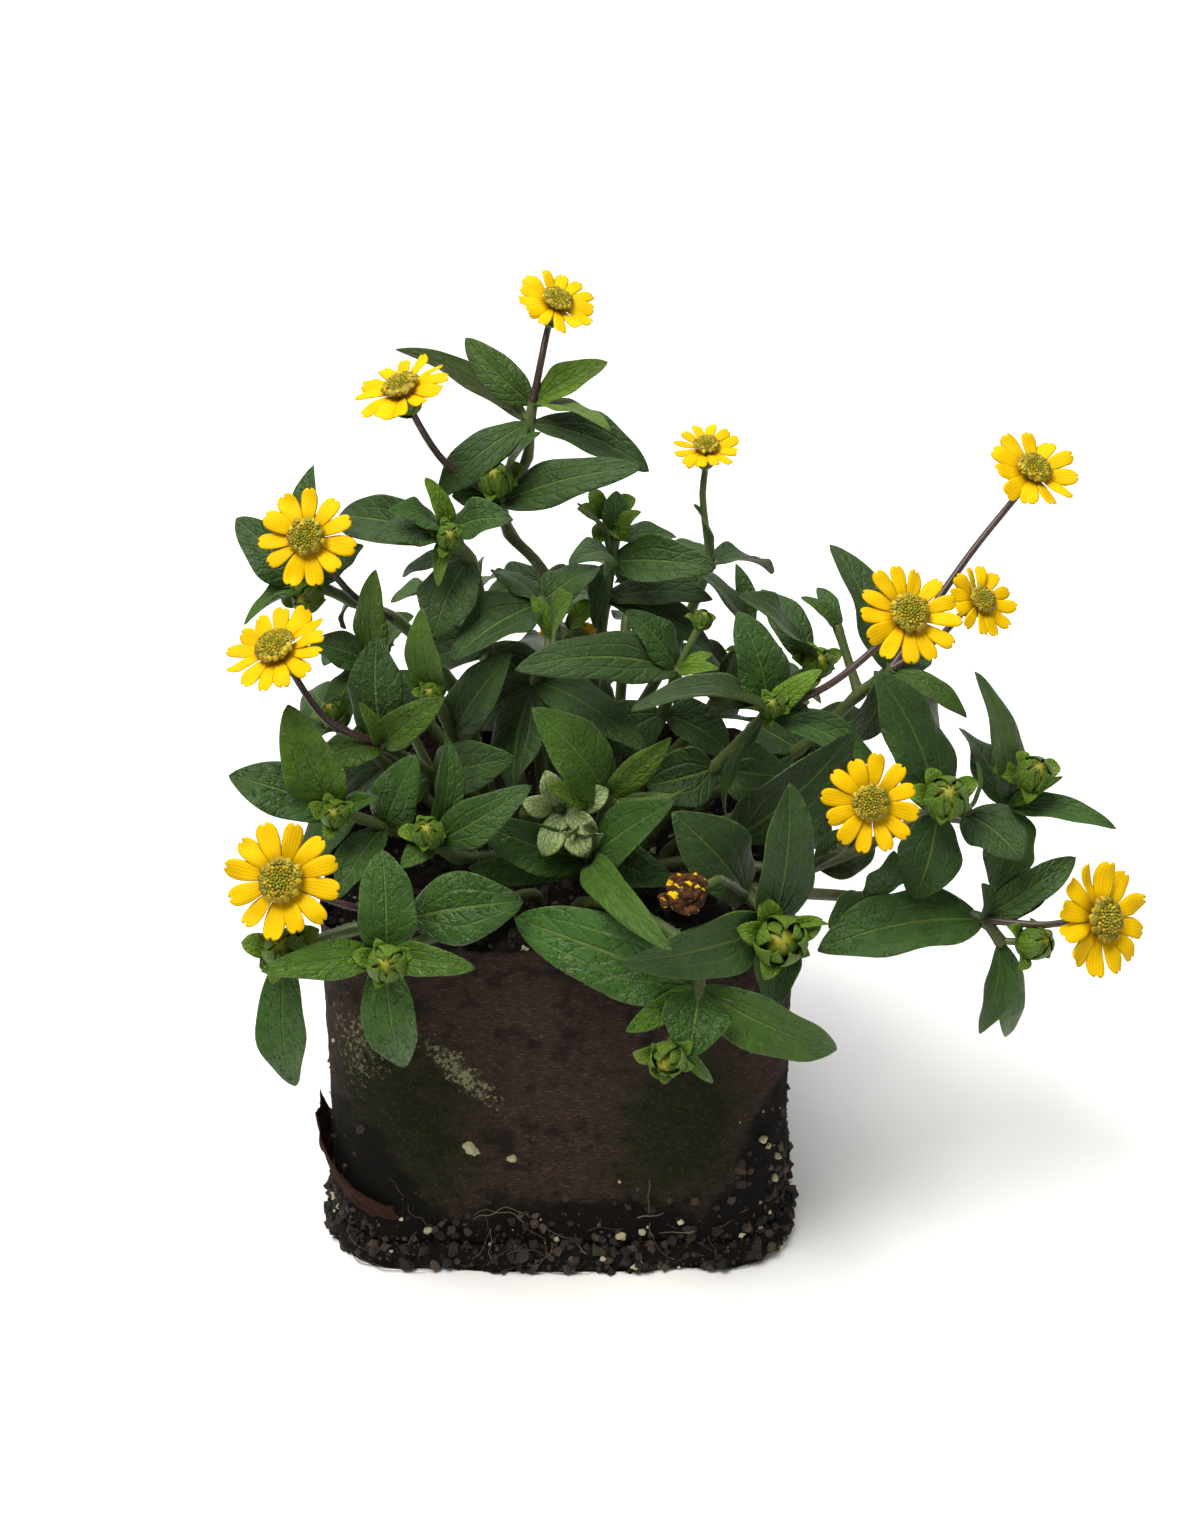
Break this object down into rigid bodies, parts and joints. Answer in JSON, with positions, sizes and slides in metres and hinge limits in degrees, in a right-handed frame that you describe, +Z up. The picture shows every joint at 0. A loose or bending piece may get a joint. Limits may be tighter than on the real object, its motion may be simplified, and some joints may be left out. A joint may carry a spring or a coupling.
{
  "type": "potted creeping zinnia",
  "caption": "Low bushy bedding plant with small yellow daisy-like flowers, growing from a square block of potting soil in a thin paper sleeve.",
  "frame": {"origin": "middle of the block's flat underside, on the floor", "axes": "+Z up; -Y is the front, where the long right arm of the plant points to +X"},
  "size_m": [0.1677, 0.1297, 0.1801],
  "materials": {
    "leaf_green": "soft leaf green, satin",
    "petal_yellow": "matt golden yellow",
    "disc_olive": "matt olive with an ochre ring",
    "sleeve_paper": "damp dark brown fibre paper",
    "potting_soil": "matt, crumbly",
    "withered_brown": "dry and matt"
  },
  "bodies": {
    "root": {"bloom_01_disc": "disc_olive", "bloom_01_rays": "petal_yellow", "bloom_02_disc": "disc_olive", "bloom_02_rays": "petal_yellow", "bloom_03_disc": "disc_olive", "bloom_03_rays": "petal_yellow", "bloom_04_disc": "disc_olive", "bloom_04_rays": "petal_yellow", "bloom_05_disc": "disc_olive", "bloom_05_rays": "petal_yellow", "bloom_06_disc": "disc_olive", "bloom_06_rays": "petal_yellow", "bloom_07_disc": "disc_olive", "bloom_07_rays": "petal_yellow", "bloom_08_disc": "disc_olive", "bloom_08_rays": "petal_yellow", "bloom_09_disc": "disc_olive", "bloom_09_rays": "petal_yellow", "bloom_10_disc": "disc_olive", "bloom_10_rays": "petal_yellow", "bloom_11_disc": "disc_olive", "bloom_11_rays": "petal_yellow", "bloom_12_disc": "disc_olive", "bloom_12_rays": "petal_yellow", "paper_sleeve": "sleeve_paper", "shoot_back_stalk": "leaf_green", "shoot_crown_left": "leaf_green", "shoot_crown_right": "leaf_green", "shoot_far_right": "leaf_green", "shoot_front": "leaf_green", "shoot_front_left": "leaf_green", "shoot_heart": "leaf_green", "shoot_heart_left": "leaf_green", "shoot_heart_right": "leaf_green", "shoot_inner_front": "leaf_green", "shoot_inner_left": "leaf_green", "shoot_left_foot": "leaf_green", "shoot_left_low": "leaf_green", "shoot_left_middle": "leaf_green", "shoot_left_top": "leaf_green", "shoot_rear_1": "leaf_green", "shoot_rear_2": "leaf_green", "shoot_rear_3": "leaf_green", "shoot_rear_4": "leaf_green", "shoot_rear_5": "leaf_green", "shoot_rear_6": "leaf_green", "shoot_rear_7": "leaf_green", "shoot_right_arm": "leaf_green", "shoot_right_back": "leaf_green", "shoot_right_middle": "leaf_green", "shoot_right_rim": "leaf_green", "shoot_right_shoulder": "leaf_green", "shoot_right_top": "leaf_green", "shoot_top": "leaf_green", "soil_block": "potting_soil", "withered_head": "withered_brown"}
  },
  "joints": []
}
